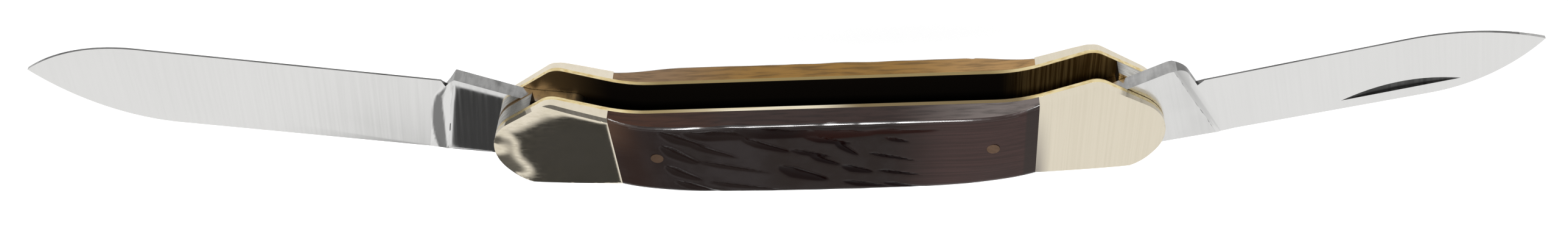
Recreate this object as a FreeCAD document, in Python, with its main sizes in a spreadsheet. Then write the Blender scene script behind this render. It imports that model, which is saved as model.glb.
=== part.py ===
"""Folding pocket knife of the canoe pattern: two blades, each on a backspring of its own.

Millimetres. X runs along the handle, with the main blade at -X and the pen blade at +X.
Z points up out of the blade well, and the lowest point of the back is the origin.
The front side of the handle faces -Y. Both blades stand open.
"""
import FreeCAD, Part
import math
import os
import Sketcher

SIZES = [
    # Handle outline, seen from the front
    ("half_length", 46.0, "handle centre to either end"),
    ("mid_height", 14.5, "back to the straight part of the well's rim"),
    ("peak_rise", 3.7, "straight rim up to the corner of the bolster's peak, before rounding"),
    ("peak_inset", 9.4, "handle's end back to the bolster's peak"),
    ("peak_radius", 2.5, "rounding of the bolster's peak"),
    ("slope_run", 9.9, "length of the slope up to the peak"),
    ("foot_radius", 18.0, "hollow at the foot of that slope"),
    ("end_radius", 6.8, "rounding of the handle's ends"),
    ("back_radius", 500.0, "gentle curve of the back"),
    ("bolster_length", 17.1, "handle's end back to the joint between bolster and cover"),
    # Handle layers, from the middle outwards
    ("divider_thickness", 0.3, "thin plate between the two springs"),
    ("well_half", 2.35, "middle of the handle to either liner"),
    ("liner_thickness", 0.6, "brass liner"),
    ("cover_thickness", 3.0, "bone cover at its flat middle"),
    ("cover_taper_length", 9.9, "length over which each end of the cover thins"),
    ("cover_plan_radius", 36.0, "curve that thins the cover towards the bolsters"),
    ("cover_rim_bevel", 0.45, "bevel of the cover along the well"),
    ("back_round", 1.5, "rounding of the cover along the back, which the bolster takes up"),
    ("bolster_end_thickness", 0.85, "bolster at the handle's end"),
    # Pins
    ("pivot_inset", 8.0, "handle's end back to the blade pivot"),
    ("pivot_z", 10.0, "back to the blade pivots"),
    ("pivot_radius", 1.2, "pivot pin"),
    ("center_pin_radius", 0.8, "pin through the middle of both springs"),
    ("center_pin_z", 1.45, "back to the pin through the springs"),
    ("cover_pin_inset", 6.0, "joint back to the pins that hold the covers"),
    ("cover_pin_z", 8.4, "back to the pins that hold the covers"),
    ("cover_pin_radius", 0.88, "pin that holds a cover"),
    ("cover_pin_stand", 0.06, "cover pin's end above the bone around it"),
    ("fit_gap", 0.02, "gap round a pin that is fixed in its hole"),
    ("running_gap", 0.04, "gap round a pin that a blade turns on"),
    # Springs
    ("spring_top", 2.9, "back to the top of the spring's thin middle"),
    ("cam_reach", 4.0, "blade pivot to the tang's flats, which sit on the spring's head"),
    ("stop_reach", 4.5, "blade pivot to the spring's end, which stops the open blade"),
    ("head_back", 0.6, "blade pivot to the inner edge of the spring's head"),
    ("ramp_length", 7.9, "length of the ramp behind the head"),
    ("lobe_lip", 1.6, "blade pivot to the inner edge of the spring's pinned end"),
    ("lobe_step_height", 1.0, "step in the pinned end above its pin"),
    ("lobe_wall", 1.2, "wall of the pinned end round its pin"),
    ("lobe_ramp", 4.1, "length of the ramp at the foot of the pinned end"),
    ("spring_round", 1.2, "rounding of the spring's inner corners"),
    # What both blades share
    ("side_gap", 0.05, "gap between a tang and the layer on either side of it"),
    ("tang_back", 4.8, "blade pivot to the back end of the tang"),
    ("tang_round", 1.8, "rounding of the tang's back corners"),
    ("edge_half", 0.12, "half thickness of the cutting edge"),
    ("tip_half", 0.45, "half thickness of the spine at the point"),
    ("plunge_length", 2.6, "length of the run-out between tang and ground face"),
    ("nick_depth", 0.5, "depth of the nail nick"),
    ("nick_height", 2.0, "width of the nail nick at its middle"),
    # Main blade, from its pivot, with its spine level
    ("main_swing_angle", 170.0, "angle from open to closed"),
    ("main_open_angle", 11.6, "angle of the open blade above the handle"),
    ("main_spine_drop", 7.9, "pivot down to the spine at the tang"),
    ("main_spine_fall", 1.1, "further drop of the spine by the time it starts to curve"),
    ("main_tip_room", 3.6, "point of the closed blade to the other pivot"),
    ("main_point_length", 19.5, "point back to where the spine starts to curve"),
    ("main_tip_drop", 1.5, "pivot down to the point"),
    ("main_edge_rise", 5.0, "pivot up to the heel of the edge"),
    ("main_edge_angle", 0.5, "angle of the edge towards the pivot's level, negative if away from it"),
    ("main_belly_length", 15.6, "point back to where the edge starts to curve"),
    ("main_heel_x", 16.6, "pivot to the heel of the edge"),
    ("main_notch_width", 2.0, "notch between heel and kick"),
    ("main_notch_depth", 0.8, "notch below the heel"),
    ("main_kick_x", 13.5, "pivot out to the kick"),
    ("main_kick_rise", 6.4, "pivot up to the kick"),
    ("main_kick_round", 0.3, "rounding of the kick"),
    ("main_flat_length", 3.3, "length of the closing flat past the pivot"),
    ("main_plunge_x", 14.2, "pivot to the start of the ground face"),
    ("main_plunge_angle", 5.0, "lean of that line"),
    ("main_nick_setback", 26.4, "point back to the middle of the nail nick"),
    ("main_nick_length", 17.0, "length of the nail nick"),
    ("main_nick_inset", 0.6, "spine's level at the tang up to the nail nick"),
    # Pen blade, likewise
    ("pen_swing_angle", 168.0, "angle from open to closed"),
    ("pen_open_angle", 14.0, "angle of the open blade above the handle"),
    ("pen_spine_drop", 6.85, "pivot down to the spine at the tang"),
    ("pen_spine_fall", 0.75, "further drop of the spine by the time it starts to curve"),
    ("pen_tip_x", 55.2, "pivot out to the point"),
    ("pen_point_length", 13.8, "point back to where the spine starts to curve"),
    ("pen_tip_drop", 1.65, "pivot down to the point"),
    ("pen_edge_rise", 2.7, "pivot up to the heel of the edge"),
    ("pen_edge_angle", -0.3, "angle of the edge, as on the main blade"),
    ("pen_belly_length", 16.4, "point back to where the edge starts to curve"),
    ("pen_heel_x", 13.6, "pivot to the heel of the edge"),
    ("pen_notch_width", 2.0, "notch between heel and kick"),
    ("pen_notch_depth", 0.4, "notch below the heel"),
    ("pen_kick_x", 11.2, "pivot out to the kick"),
    ("pen_kick_rise", 6.9, "pivot up to the kick, before rounding"),
    ("pen_kick_round", 2.2, "rounding of the kick"),
    ("pen_flat_length", 0.4, "length of the closing flat past the pivot"),
    ("pen_plunge_x", 11.8, "pivot to the start of the ground face"),
    ("pen_plunge_angle", 16.0, "lean of that line"),
    ("pen_nick_setback", 17.0, "point back to the middle of the nail nick"),
    ("pen_nick_length", 14.5, "length of the nail nick"),
    ("pen_nick_inset", 1.2, "spine's level at the tang up to the nail nick"),
    # Room that cuts take beyond the piece they shape
    ("cut_margin", 5.0, "how far a cut reaches past a piece"),
]

doc = FreeCAD.newDocument("pocket_knife")
sheet = doc.addObject("Spreadsheet::Sheet", "Sizes")
for row, (alias, value, meaning) in enumerate(SIZES, start=1):
    sheet.set(f"A{row}", meaning)
    sheet.set(f"B{row}", str(value))
    sheet.setAlias(f"B{row}", alias)
doc.recompute()

ORIGIN = (-1, 1)
NEAR_ZERO = 1e-9
SAME_PLACE = 0.01

# Sizes that follow from the driving ones
WELL_HALF = "Sizes.well_half"
LINER_OUT = "(Sizes.well_half + Sizes.liner_thickness)"
COVER_OUT = "(Sizes.well_half + Sizes.liner_thickness + Sizes.cover_thickness)"
CUT_OUT = "(Sizes.well_half + Sizes.liner_thickness + Sizes.cover_thickness + Sizes.cut_margin)"
CUT_TOP = "(Sizes.mid_height + Sizes.peak_rise + Sizes.cut_margin)"
CUT_END = "(Sizes.half_length + Sizes.cut_margin)"
PEAK_X = "(Sizes.half_length - Sizes.peak_inset)"
FOOT_X = f"({PEAK_X} - Sizes.slope_run)"
JOINT_X = "(Sizes.half_length - Sizes.bolster_length)"
COVER_FLAT_X = f"({JOINT_X} - Sizes.cover_taper_length)"
COVER_PIN_X = f"({JOINT_X} - Sizes.cover_pin_inset)"
PIVOT_X = "(Sizes.half_length - Sizes.pivot_inset)"
SPRING_THICKNESS = "(Sizes.well_half - Sizes.divider_thickness / 2)"
LAYER_MIDDLE = "(Sizes.well_half / 2 + Sizes.divider_thickness / 4)"
TANG_HALF = "(Sizes.well_half / 2 - Sizes.divider_thickness / 4 - Sizes.side_gap)"
HEAD_Z = "(Sizes.pivot_z - Sizes.cam_reach)"
SPRING_END_X = f"({PIVOT_X} + Sizes.stop_reach)"
HEAD_X = f"({PIVOT_X} - Sizes.head_back)"
RAMP_FOOT_X = f"({HEAD_X} - Sizes.ramp_length)"
LOBE_TOP_X = f"({PIVOT_X} + Sizes.lobe_lip)"
LOBE_SIDE_X = f"({PIVOT_X} - Sizes.pivot_radius - Sizes.lobe_wall)"
LOBE_SIDE_Z = "(Sizes.pivot_z + Sizes.pivot_radius + Sizes.lobe_wall)"
LOBE_FOOT_X = f"({LOBE_SIDE_X} - Sizes.lobe_ramp)"
TIP_X = {"main": f"(2 * {PIVOT_X} - Sizes.main_tip_room)", "pen": "Sizes.pen_tip_x"}


def number(expression):
    """The value of an expression on the sheet."""
    value = sheet.evalExpression(expression)
    return float(getattr(value, "Value", value))


def cover_thinning(distance):
    """How far the cover has thinned at a distance from the handle's centre."""
    run = f"({distance} - {COVER_FLAT_X})"
    return f"(Sizes.cover_plan_radius - sqrt(Sizes.cover_plan_radius ^ 2 - {run} ^ 2))"


JOINT_OUT = f"({COVER_OUT} - {cover_thinning(JOINT_X)})"
END_OUT = f"({LINER_OUT} + Sizes.bolster_end_thickness)"


def unit(vector):
    return vector / vector.Length


def round_corner(before, corner, after, radius):
    """Start, centre and end of the arc that rounds a corner."""
    back = unit(before - corner)
    ahead = unit(after - corner)
    half_angle = back.getAngle(ahead) / 2
    reach = radius / math.tan(half_angle)
    center = corner + unit(back + ahead) * (radius / math.sin(half_angle))
    return corner + back * reach, center, corner + ahead * reach


def point(x, z):
    return FreeCAD.Vector(x, z, 0)


class Outline:
    """A sketch on one of a body's own planes, with its sizes tied to the sheet."""

    def __init__(self, body, name, plane, offset="0"):
        self.sketch = body.newObject("Sketcher::SketchObject", name)
        for feature in body.Origin.OriginFeatures:
            if feature.Role == plane:
                self.sketch.AttachmentSupport = [(feature, "")]
        self.sketch.MapMode = "FlatFace"
        self.sketch.setExpression("AttachmentOffset.Base.z", offset)

    def tie(self, kind, *place, size):
        """Add a constraint whose size comes from the sheet."""
        index = self.sketch.addConstraint(Sketcher.Constraint(kind, *place, number(size)))
        self.sketch.setExpression(f"Constraints[{index}]", size)

    def set_rule(self, kind, *place):
        self.sketch.addConstraint(Sketcher.Constraint(kind, *place))

    def line(self, start, end):
        """A line, as its number and its first and last point."""
        return self.sketch.addGeometry(Part.LineSegment(start, end), False), 1, 2

    def arc(self, start, center, end, left_turn):
        """An arc in path order, turning left or right."""
        first, last = (start, end) if left_turn else (end, start)
        radius = (start - center).Length
        from_angle = math.atan2(first.y - center.y, first.x - center.x)
        to_angle = math.atan2(last.y - center.y, last.x - center.x)
        if to_angle < from_angle:
            to_angle += 2 * math.pi
        circle = Part.Circle(center, FreeCAD.Vector(0, 0, 1), radius)
        edge = self.sketch.addGeometry(Part.ArcOfCircle(circle, from_angle, to_angle), False)
        return (edge, 1, 2) if left_turn else (edge, 2, 1)

    def join(self, path, smooth):
        """Close a path: each piece meets the next, smoothly where asked."""
        for place, (edge, _, end) in enumerate(path):
            following, start, _ = path[(place + 1) % len(path)]
            self.set_rule("Tangent" if place in smooth else "Coincident", edge, end, following, start)

    def place_along(self, kind, edge, end, size):
        """Tie a point to one size, measured from the origin and with a sign."""
        value = number(size)
        if abs(value) < NEAR_ZERO:
            self.set_rule("Vertical" if kind == "DistanceX" else "Horizontal", edge, end, *ORIGIN)
        elif value > 0:
            self.tie(kind, *ORIGIN, edge, end, size=size)
        else:
            self.tie(kind, edge, end, *ORIGIN, size=f"-({size})")

    def place(self, edge, end, x, z):
        """Tie a point to two sizes, measured from the origin."""
        self.place_along("DistanceX", edge, end, x)
        self.place_along("DistanceY", edge, end, z)

    def polygon(self, corners):
        """A closed run of straight lines through corners given as sizes."""
        spots = [point(number(x), number(z)) for x, z in corners]
        path = [self.line(spot, spots[(i + 1) % len(spots)]) for i, spot in enumerate(spots)]
        self.join(path, smooth=())
        for (edge, start, _), (x, z) in zip(path, corners):
            self.place(edge, start, x, z)

    def circle(self, x, z, radius):
        middle = point(number(x), number(z))
        ring = Part.Circle(middle, FreeCAD.Vector(0, 0, 1), number(radius))
        edge = self.sketch.addGeometry(ring, False)
        self.place(edge, 3, x, z)
        self.tie("Radius", edge, size=radius)


def mirrored(spot):
    return point(-spot.x, spot.y)


def draw_handle(outline):
    """The handle seen from the front: rim, two peaks, round ends and curved back."""
    rim = number("Sizes.mid_height")
    end_radius = number("Sizes.end_radius")
    back_radius = number("Sizes.back_radius")
    end_x = number("Sizes.half_length - Sizes.end_radius")
    end_z = back_radius - math.sqrt((back_radius - end_radius) ** 2 - end_x ** 2)
    peak_z = "Sizes.mid_height + Sizes.peak_rise"
    foot = point(number(FOOT_X), rim)
    peak = point(number(PEAK_X), number(peak_z))
    end_center = point(end_x, end_z)
    back_center = point(0, back_radius)
    to_end = end_center - peak
    slant_angle = math.atan2(to_end.y, to_end.x) + math.asin(end_radius / to_end.Length)
    slant_length = math.sqrt(to_end.Length ** 2 - end_radius ** 2)
    shoulder = peak + point(math.cos(slant_angle), math.sin(slant_angle)) * slant_length
    under = end_center + unit(end_center - back_center) * end_radius
    foot_radius = number("Sizes.foot_radius")
    peak_radius = number("Sizes.peak_radius")
    rim_end, foot_center, slope_start = round_corner(point(0, rim), foot, peak, foot_radius)
    slope_end, peak_center, slant_start = round_corner(foot, peak, shoulder, peak_radius)

    path = [
        outline.line(mirrored(rim_end), rim_end),
        outline.arc(rim_end, foot_center, slope_start, left_turn=True),
        outline.line(slope_start, slope_end),
        outline.arc(slope_end, peak_center, slant_start, left_turn=False),
        outline.line(slant_start, shoulder),
        outline.arc(shoulder, end_center, under, left_turn=False),
        outline.arc(under, back_center, mirrored(under), left_turn=False),
        outline.arc(mirrored(under), mirrored(end_center), mirrored(shoulder), left_turn=False),
        outline.line(mirrored(shoulder), mirrored(slant_start)),
        outline.arc(mirrored(slant_start), mirrored(peak_center), mirrored(slope_end), left_turn=False),
        outline.line(mirrored(slope_end), mirrored(slope_start)),
        outline.arc(mirrored(slope_start), mirrored(foot_center), mirrored(rim_end), left_turn=True),
    ]
    outline.join(path, smooth=range(len(path)))
    edges = [edge for edge, _, _ in path]
    rim_edge, back_edge = edges[0], edges[6]
    outline.set_rule("Horizontal", rim_edge)
    outline.tie("DistanceY", *ORIGIN, rim_edge, 1, size="Sizes.mid_height")
    outline.tie("Radius", back_edge, size="Sizes.back_radius")
    outline.place(back_edge, 3, "0", "Sizes.back_radius")
    sides = (("", edges[1:6]), ("-", edges[11:6:-1]))
    for sign, (foot_edge, slope_edge, peak_edge, slant_edge, end_edge) in sides:
        turn = mirrored if sign else point_itself
        outline.tie("Radius", foot_edge, size="Sizes.foot_radius")
        outline.tie("Radius", peak_edge, size="Sizes.peak_radius")
        outline.tie("Radius", end_edge, size="Sizes.end_radius")
        outline.place_along("DistanceX", end_edge, 3, f"{sign}(Sizes.half_length - Sizes.end_radius)")
        foot_mark = outline.sketch.addGeometry(Part.Point(turn(foot)), True)
        outline.set_rule("PointOnObject", foot_mark, 1, rim_edge)
        outline.set_rule("PointOnObject", foot_mark, 1, slope_edge)
        outline.place_along("DistanceX", foot_mark, 1, f"{sign}{FOOT_X}")
        peak_mark = outline.sketch.addGeometry(Part.Point(turn(peak)), True)
        outline.set_rule("PointOnObject", peak_mark, 1, slope_edge)
        outline.set_rule("PointOnObject", peak_mark, 1, slant_edge)
        outline.place(peak_mark, 1, f"{sign}{PEAK_X}", peak_z)


def point_itself(spot):
    return spot


def new_body(label):
    body = doc.addObject("PartDesign::Body", label)
    body.Label = label
    return body


def turn_round(body):
    """Turn a finished piece about the upright axis, to the other side of the handle."""
    body.Placement = FreeCAD.Placement(FreeCAD.Vector(), FreeCAD.Rotation(FreeCAD.Vector(0, 0, 1), 180))


def pad(body, outline, length):
    feature = body.newObject("PartDesign::Pad", "Pad")
    feature.Profile = outline.sketch
    feature.setExpression("Length", length)
    doc.recompute()


def cut_through(body, outline):
    """Cut an outline right through a body, and make sure that it cut something."""
    before = body.Shape.Volume
    feature = body.newObject("PartDesign::Pocket", "Pocket")
    feature.Profile = outline.sketch
    feature.Type = "ThroughAll"
    doc.recompute()
    if not body.Shape.Volume < before:
        raise RuntimeError(f"{body.Label}: {outline.sketch.Name} cut nothing")


def edge_middle(edge):
    return edge.valueAt((edge.FirstParameter + edge.LastParameter) / 2)


def dress_edges(body, kind, size, wanted):
    """Round or bevel every edge of a body that a test picks."""
    names = []
    for place, edge in enumerate(body.Tip.Shape.Edges, start=1):
        if wanted(edge):
            names.append(f"Edge{place}")
    if not names:
        raise RuntimeError(f"{body.Label}: no edge to dress")
    base = body.Tip
    feature = body.newObject(f"PartDesign::{kind}", kind)
    feature.Base = (base, names)
    feature.setExpression("Radius" if kind == "Fillet" else "Size", size)
    doc.recompute()


def is_outer(edge):
    """Whether an edge runs along the outside of a cover or bolster, clear of its inner face."""
    first, last = edge.Vertexes[0].Point, edge.Vertexes[-1].Point
    return abs(first.x - last.x) > SAME_PLACE and edge_middle(edge).y < -number(LINER_OUT) - SAME_PLACE


def along_back(edge):
    return is_outer(edge) and edge_middle(edge).z < number("Sizes.mid_height / 2")


def along_rim(edge):
    return is_outer(edge) and edge_middle(edge).z > number("Sizes.mid_height") - SAME_PLACE


def crosswise_at(spots):
    """A test for edges that run across the handle at given X and Z."""

    def wanted(edge):
        first, last = edge.Vertexes[0].Point, edge.Vertexes[-1].Point
        middle = edge_middle(edge)
        if abs(first.x - last.x) > SAME_PLACE or abs(first.z - last.z) > SAME_PLACE:
            return False
        return any(abs(middle.x - x) < SAME_PLACE and abs(middle.z - z) < SAME_PLACE for x, z in spots)

    return wanted


def handle_plate(label, inner, thickness):
    """A body with the handle's whole outline, from an inner face towards the front."""
    body = new_body(label)
    outline = Outline(body, f"{label}_outline", "XZ_Plane", inner)
    draw_handle(outline)
    pad(body, outline, thickness)
    return body


def drill(body, holes):
    """Drill holes, given as X, Z and radius, right through a body from the front."""
    outline = Outline(body, f"{body.Label}_holes", "XZ_Plane", CUT_OUT)
    for x, z, radius in holes:
        outline.circle(x, z, radius)
    cut_through(body, outline)


def liner(label, rear):
    """A brass liner: the handle's outline in thin plate, drilled for every pin."""
    body = handle_plate(label, WELL_HALF, "Sizes.liner_thickness")
    pivot_hole = "Sizes.pivot_radius + Sizes.fit_gap"
    cover_hole = "Sizes.cover_pin_radius + Sizes.fit_gap"
    drill(body, [
        (PIVOT_X, "Sizes.pivot_z", pivot_hole),
        (f"-{PIVOT_X}", "Sizes.pivot_z", pivot_hole),
        (COVER_PIN_X, "Sizes.cover_pin_z", cover_hole),
        (f"-{COVER_PIN_X}", "Sizes.cover_pin_z", cover_hole),
        ("0", "Sizes.center_pin_z", "Sizes.center_pin_radius + Sizes.fit_gap"),
    ])
    if rear:
        turn_round(body)
    return body


def draw_cover_taper(outline, sign):
    """What lies outside the end of a cover seen from above, where its face curves in."""
    radius = number("Sizes.cover_plan_radius")
    turn = mirrored if sign else point_itself
    flat_end = turn(point(number(COVER_FLAT_X), -number(COVER_OUT)))
    joint_end = turn(point(number(JOINT_X), -number(JOINT_OUT)))
    out_y = -number(CUT_OUT)
    path = [
        outline.arc(flat_end, flat_end + point(0, radius), joint_end, left_turn=not sign),
        outline.line(joint_end, point(joint_end.x, out_y)),
        outline.line(point(joint_end.x, out_y), point(flat_end.x, out_y)),
        outline.line(point(flat_end.x, out_y), flat_end),
    ]
    outline.join(path, smooth=())
    (arc, arc_start, arc_end), _, (outer, outer_start, outer_end), _ = path
    outline.place(arc, arc_start, f"{sign}{COVER_FLAT_X}", f"-{COVER_OUT}")
    outline.place(arc, 3, f"{sign}{COVER_FLAT_X}", f"Sizes.cover_plan_radius - {COVER_OUT}")
    outline.place_along("DistanceX", arc, arc_end, f"{sign}{JOINT_X}")
    outline.place(outer, outer_start, f"{sign}{JOINT_X}", f"-{CUT_OUT}")
    outline.place(outer, outer_end, f"{sign}{COVER_FLAT_X}", f"-{CUT_OUT}")


def draw_bolster_block(outline, sign):
    """The block that a bolster is cut from: square on three sides and curved along the back."""
    radius = number("Sizes.back_radius")
    turn = mirrored if sign else point_itself
    joint, end, top = number(JOINT_X), number(CUT_END), number(CUT_TOP)
    near_back = turn(point(joint, radius - math.sqrt(radius ** 2 - joint ** 2)))
    far_back = turn(point(end, radius - math.sqrt(radius ** 2 - end ** 2)))
    near_top = point(near_back.x, top)
    far_top = point(far_back.x, top)
    path = [
        outline.arc(near_back, point(0, radius), far_back, left_turn=not sign),
        outline.line(far_back, far_top),
        outline.line(far_top, near_top),
        outline.line(near_top, near_back),
    ]
    outline.join(path, smooth=())
    (arc, arc_start, arc_end), _, (top_edge, top_start, top_end), _ = path
    outline.tie("Radius", arc, size="Sizes.back_radius")
    outline.place(arc, 3, "0", "Sizes.back_radius")
    outline.place_along("DistanceX", arc, arc_start, f"{sign}{JOINT_X}")
    outline.place_along("DistanceX", arc, arc_end, f"{sign}{CUT_END}")
    outline.place(top_edge, top_start, f"{sign}{CUT_END}", CUT_TOP)
    outline.place(top_edge, top_end, f"{sign}{JOINT_X}", CUT_TOP)


def bolster(label, side, rear):
    """A nickel silver bolster: its face thins to the handle's end, where the rounded back fades."""
    sign = "" if side > 0 else "-"
    body = new_body(label)
    block = Outline(body, f"{label}_block", "XZ_Plane", LINER_OUT)
    draw_bolster_block(block, sign)
    pad(body, block, f"{JOINT_OUT} - {LINER_OUT}")
    dress_edges(body, "Fillet", "Sizes.back_round", along_back)

    margin_share = "(Sizes.cut_margin / Sizes.bolster_length)"
    cut_end_out = f"({END_OUT} - ({JOINT_OUT} - {END_OUT}) * {margin_share})"
    face = Outline(body, f"{label}_face", "XY_Plane", f"{CUT_TOP} + Sizes.cut_margin")
    face.polygon([
        (f"{sign}{JOINT_X}", f"-{JOINT_OUT}"),
        (f"{sign}{CUT_END}", f"-{cut_end_out}"),
        (f"{sign}{CUT_END}", f"-{CUT_OUT}"),
        (f"{sign}{JOINT_X}", f"-{CUT_OUT}"),
    ])
    cut_through(body, face)

    around = Outline(body, f"{label}_around", "XZ_Plane", CUT_OUT)
    draw_handle(around)
    far = f"({CUT_END} + Sizes.cut_margin)"
    top = f"({CUT_TOP} + Sizes.cut_margin)"
    bottom = "-Sizes.cut_margin"
    around.polygon([(f"-{far}", bottom), (far, bottom), (far, top), (f"-{far}", top)])
    cut_through(body, around)
    if rear:
        turn_round(body)
    return body


def cover(label, rear):
    """A bone cover: flat in the middle, thinned to the bolsters and rounded along both rims."""
    body = handle_plate(label, LINER_OUT, "Sizes.cover_thickness")
    below = "-Sizes.cut_margin"
    for name, sign in (("right", ""), ("left", "-")):
        joint = f"{sign}{JOINT_X}"
        far = f"{sign}{CUT_END}"
        beyond = Outline(body, f"{label}_{name}_joint", "XZ_Plane", CUT_OUT)
        beyond.polygon([(joint, below), (far, below), (far, CUT_TOP), (joint, CUT_TOP)])
        cut_through(body, beyond)
    for name, sign in (("right", ""), ("left", "-")):
        face = Outline(body, f"{label}_{name}_face", "XY_Plane", CUT_TOP)
        draw_cover_taper(face, sign)
        cut_through(body, face)
    cover_hole = "Sizes.cover_pin_radius + Sizes.fit_gap"
    drill(body, [(f"{sign}{COVER_PIN_X}", "Sizes.cover_pin_z", cover_hole) for sign in ("", "-")])
    dress_edges(body, "Chamfer", "Sizes.cover_rim_bevel", along_rim)
    dress_edges(body, "Fillet", "Sizes.back_round", along_back)
    if rear:
        turn_round(body)
    return body


def lobe_corners(sign):
    """The inner side of a spring's pinned end, from its top down to the thin middle."""
    return [
        (f"{sign}{LOBE_TOP_X}", CUT_TOP),
        (f"{sign}{LOBE_TOP_X}", f"{LOBE_SIDE_Z} + Sizes.lobe_step_height"),
        (f"{sign}{LOBE_SIDE_X}", LOBE_SIDE_Z),
        (f"{sign}{LOBE_SIDE_X}", HEAD_Z),
        (f"{sign}{LOBE_FOOT_X}", "Sizes.spring_top"),
    ]


def spring(label, rear):
    """A backspring: head under the tang at one end, thin middle, pinned at the other end."""
    body = handle_plate(label, "Sizes.divider_thickness / 2", SPRING_THICKNESS)
    room = Outline(body, f"{label}_room", "XZ_Plane", CUT_OUT)
    room.polygon(lobe_corners("-") + [
        (RAMP_FOOT_X, "Sizes.spring_top"),
        (HEAD_X, HEAD_Z),
        (SPRING_END_X, HEAD_Z),
        (SPRING_END_X, "-Sizes.cut_margin"),
        (CUT_END, "-Sizes.cut_margin"),
        (CUT_END, CUT_TOP),
    ])
    cut_through(body, room)
    drill(body, [
        ("0", "Sizes.center_pin_z", "Sizes.center_pin_radius + Sizes.fit_gap"),
        (f"-{PIVOT_X}", "Sizes.pivot_z", "Sizes.pivot_radius + Sizes.fit_gap"),
    ])
    feet = [(f"-{LOBE_FOOT_X}", "Sizes.spring_top"), (RAMP_FOOT_X, "Sizes.spring_top")]
    at_feet = crosswise_at([(number(x), number(z)) for x, z in feet])
    dress_edges(body, "Fillet", "Sizes.spring_round", at_feet)
    if rear:
        turn_round(body)
    return body


def divider():
    """The thin plate that keeps the two springs apart, with both pivots through its ends."""
    body = handle_plate("center_divider", "-Sizes.divider_thickness / 2", "Sizes.divider_thickness")
    room = Outline(body, "divider_room", "XZ_Plane", CUT_OUT)
    room.polygon(lobe_corners("-") + lobe_corners("")[::-1])
    cut_through(body, room)
    pivot_hole = "Sizes.pivot_radius + Sizes.fit_gap"
    drill(body, [
        (PIVOT_X, "Sizes.pivot_z", pivot_hole),
        (f"-{PIVOT_X}", "Sizes.pivot_z", pivot_hole),
        ("0", "Sizes.center_pin_z", "Sizes.center_pin_radius + Sizes.fit_gap"),
    ])
    return body


def meet(first_angle, first_reach, second_angle, second_reach):
    """Where two lines cross, each given by its normal's angle and its distance from the pivot."""
    spread = f"sin({second_angle} - ({first_angle}))"
    x = f"(({first_reach}) * sin({second_angle}) - ({second_reach}) * sin({first_angle})) / {spread}"
    z = f"(({second_reach}) * cos({first_angle}) - ({first_reach}) * cos({second_angle})) / {spread}"
    return x, z


def blade_corners(kind):
    """The corners of a blade's outline, in order from the stop shoulder round by the point."""
    size = f"Sizes.{kind}_"
    stop_angle = f"(0 - {size}open_angle)"
    open_angle = f"(270 - {size}open_angle)"
    back_angle = f"(270 - {size}swing_angle / 2 - {size}open_angle)"
    closed_angle = f"(270 - {size}swing_angle - {size}open_angle)"
    spine_angle = "270"
    reach = f"{size}flat_length"
    belly_x = f"({TIP_X[kind]} - {size}belly_length)"
    fall = f"({belly_x} - {size}heel_x) * tan({size}edge_angle)"
    return {
        "stop": meet(open_angle, "Sizes.cam_reach", stop_angle, "Sizes.stop_reach"),
        "shoulder": meet(spine_angle, f"{size}spine_drop", stop_angle, "Sizes.stop_reach"),
        "spine_end": (f"{TIP_X[kind]} - {size}point_length", f"-({size}spine_drop + {size}spine_fall)"),
        "tip": (TIP_X[kind], f"-{size}tip_drop"),
        "belly": (belly_x, f"{size}edge_rise - {fall}"),
        "heel": (f"{size}heel_x", f"{size}edge_rise"),
        "notch": (f"{size}heel_x - {size}notch_width / 2", f"{size}edge_rise - {size}notch_depth"),
        "kick": (f"{size}kick_x", f"{size}kick_rise"),
        "flat_end": (
            f"Sizes.cam_reach * cos({closed_angle}) + {reach} * sin({closed_angle})",
            f"Sizes.cam_reach * sin({closed_angle}) - {reach} * cos({closed_angle})",
        ),
        "back_top": meet(closed_angle, "Sizes.cam_reach", back_angle, "Sizes.tang_back"),
        "back_bottom": meet(back_angle, "Sizes.tang_back", open_angle, "Sizes.cam_reach"),
    }


def arc_center(touch, inward, through):
    """Centre of the arc that leaves a point square to a direction and ends at another point."""
    chord = through - touch
    return touch + inward * (chord.dot(chord) / (2 * chord.dot(inward)))


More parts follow.
